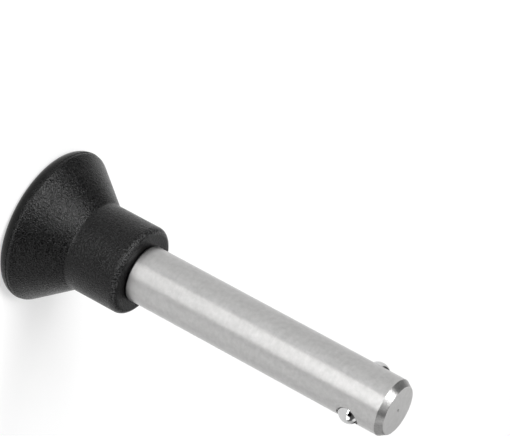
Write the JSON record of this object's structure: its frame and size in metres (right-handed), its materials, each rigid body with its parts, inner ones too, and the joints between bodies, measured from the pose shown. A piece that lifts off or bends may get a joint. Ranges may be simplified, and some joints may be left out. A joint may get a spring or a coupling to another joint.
{
  "type": "insert pin",
  "caption": "Insert pin with a fixed mushroom grip; sprung balls near the tip of its plain round shank hold it in a through hole.",
  "frame": {"origin": "centre of the shoulder, the grip's flat end face where the shank leaves it", "axes": "+Z along the shank towards its tip, +X through both balls, +Y towards the lanyard hole; the pin stands on the rim of its head"},
  "size_m": [0.0432, 0.0432, 0.1128],
  "materials": {
    "black_thermoplastic": "fine spark-eroded grain, matt black",
    "stainless_steel": "fine turned and ground, satin",
    "ball_steel": "polished",
    "spring_steel": "bright drawn wire"
  },
  "bodies": {
    "pin": {"grip": "black_thermoplastic", "shank": "stainless_steel", "detent_spring": "spring_steel"},
    "ball_right": {"detent_ball_right": "ball_steel"},
    "ball_left": {"detent_ball_left": "ball_steel"}
  },
  "joints": [
    {"name": "ball_right_press", "type": "slide", "parent": "pin", "child": "ball_right", "axis": [-1, 0, 0], "range_m": [0, 0.0015], "stiffness_N_per_m": 5000, "springref_m": -0.002, "deforming": ["detent_spring"]},
    {"name": "ball_left_press", "type": "slide", "parent": "pin", "child": "ball_left", "axis": [1, 0, 0], "range_m": [0, 0.0015], "stiffness_N_per_m": 5000, "springref_m": -0.002, "deforming": ["detent_spring"]}
  ]
}
